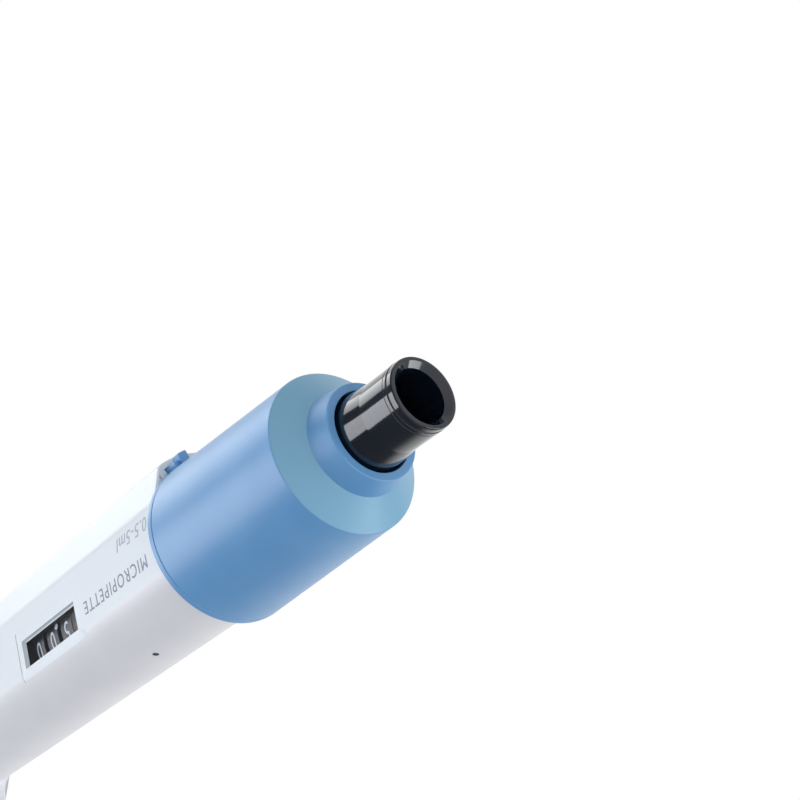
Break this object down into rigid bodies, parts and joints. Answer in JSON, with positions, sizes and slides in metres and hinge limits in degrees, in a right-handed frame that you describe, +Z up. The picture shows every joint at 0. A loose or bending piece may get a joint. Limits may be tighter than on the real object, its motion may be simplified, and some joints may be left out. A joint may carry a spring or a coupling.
{
  "type": "adjustable volume pipette",
  "caption": "Hand-held adjustable-volume air-displacement pipette with drum counter, push button, volume dial, finger rest and tip ejector.",
  "frame": {"origin": "centre of the nozzle's mouth, where a disposable tip goes on", "axes": "+Z up the pipette's axis to the push button, -Y out of the front facet with the volume display, -X out of the finger-rest side, +X out of the tip-ejector side"},
  "size_m": [0.0515, 0.028, 0.22],
  "materials": {
    "shell_white": "satin",
    "bezel_white": "smooth",
    "sleeve_blue": "satin",
    "nozzle_black": "polished",
    "dial_grey": "satin",
    "counter_black": "matt",
    "drum_black": "matt",
    "lens_clear": "clear",
    "spring_steel": "drawn",
    "turned_steel": "turned",
    "cylinder_alu": "anodised",
    "nut_brass": "turned",
    "bearing_polymer": "natural",
    "seal_rubber": "moulded"
  },
  "bodies": {
    "handle": {"nozzle": "nozzle_black", "nozzle_o_ring": "seal_rubber", "piston_cylinder": "cylinder_alu", "cylinder_cap": "cylinder_alu", "rod_bush": "nut_brass", "handle_shell": "shell_white", "display_bezel": "bezel_white", "window_lens": "lens_clear", "top_cap": "shell_white", "dial_bearing": "bearing_polymer", "finger_rest": "shell_white", "finger_rest_screw_1": "turned_steel", "finger_rest_screw_2": "turned_steel", "counter_base": "counter_black", "counter_upper_plate": "counter_black", "counter_pillar_front": "turned_steel", "counter_pillar_rear": "turned_steel", "carry_shaft": "turned_steel", "screw_post": "turned_steel", "calibration_ring": "nut_brass", "main_spring": "spring_steel", "ejector_spring": "spring_steel"},
    "plunger": {"piston": "bearing_polymer", "piston_seal": "seal_rubber", "plunger_rod": "turned_steel", "spring_collar": "turned_steel", "rod_clip": "spring_steel", "stop_collar": "nut_brass", "button_stem": "dial_grey", "push_button": "sleeve_blue"},
    "dial": {"volume_dial": "dial_grey", "drive_tube": "cylinder_alu", "hundredths_drum": "drum_black"},
    "nut": {"stop_nut": "nut_brass", "blowout_spring": "spring_steel"},
    "ones": {"ones_drum": "drum_black"},
    "tenths": {"tenths_drum": "drum_black"},
    "pinion_lower": {"carry_pinion_lower": "bearing_polymer"},
    "pinion_upper": {"carry_pinion_upper": "bearing_polymer"},
    "ejector": {"ejector_sleeve": "sleeve_blue", "ejector_bar": "sleeve_blue", "ejector_button": "sleeve_blue"}
  },
  "joints": [
    {"name": "plunger_press", "type": "slide", "parent": "handle", "child": "plunger", "axis": [0, 0, 1], "range_m": [-0.019, 0], "stiffness_N_per_m": 400, "springref_m": 0.01, "deforming": ["main_spring", "blowout_spring"]},
    {"name": "volume_turn", "type": "hinge", "parent": "handle", "child": "dial", "pos_m": [0, 0, 0.17], "axis": [0, 0, 1], "range_deg": [0, 3240]},
    {"name": "nut_travel", "type": "slide", "parent": "dial", "child": "nut", "axis": [0, 0, 1], "range_m": [0, 0.0144]},
    {"name": "ones_turn", "type": "hinge", "parent": "handle", "child": "ones", "pos_m": [0, 0, 0.08989], "axis": [0, 0, 1], "range_deg": [0, 180]},
    {"name": "tenths_turn", "type": "hinge", "parent": "handle", "child": "tenths", "pos_m": [0, 0, 0.09509], "axis": [0, 0, 1], "range_deg": [0, 1620]},
    {"name": "carry_lower_turn", "type": "hinge", "parent": "handle", "child": "pinion_lower", "pos_m": [0.01008, 0, 0.0925], "axis": [0, 0, 1], "range_deg": [-450, 0]},
    {"name": "carry_upper_turn", "type": "hinge", "parent": "handle", "child": "pinion_upper", "pos_m": [0.01008, 0, 0.0977], "axis": [0, 0, 1], "range_deg": [-4050, 0]},
    {"name": "ejector_press", "type": "slide", "parent": "handle", "child": "ejector", "axis": [0, 0, 1], "range_m": [-0.009, 0], "stiffness_N_per_m": 300, "springref_m": 0.008, "deforming": ["ejector_spring"]}
  ],
  "couplings": [
    {"joint": "nut_travel", "follows": "volume_turn", "m_per_rad": 0.00025464},
    {"joint": "ones_turn", "follows": "volume_turn", "ratio": 0.055556},
    {"joint": "tenths_turn", "follows": "volume_turn", "ratio": 0.5},
    {"joint": "carry_lower_turn", "follows": "volume_turn", "ratio": -0.13889},
    {"joint": "carry_upper_turn", "follows": "volume_turn", "ratio": -1.25}
  ]
}
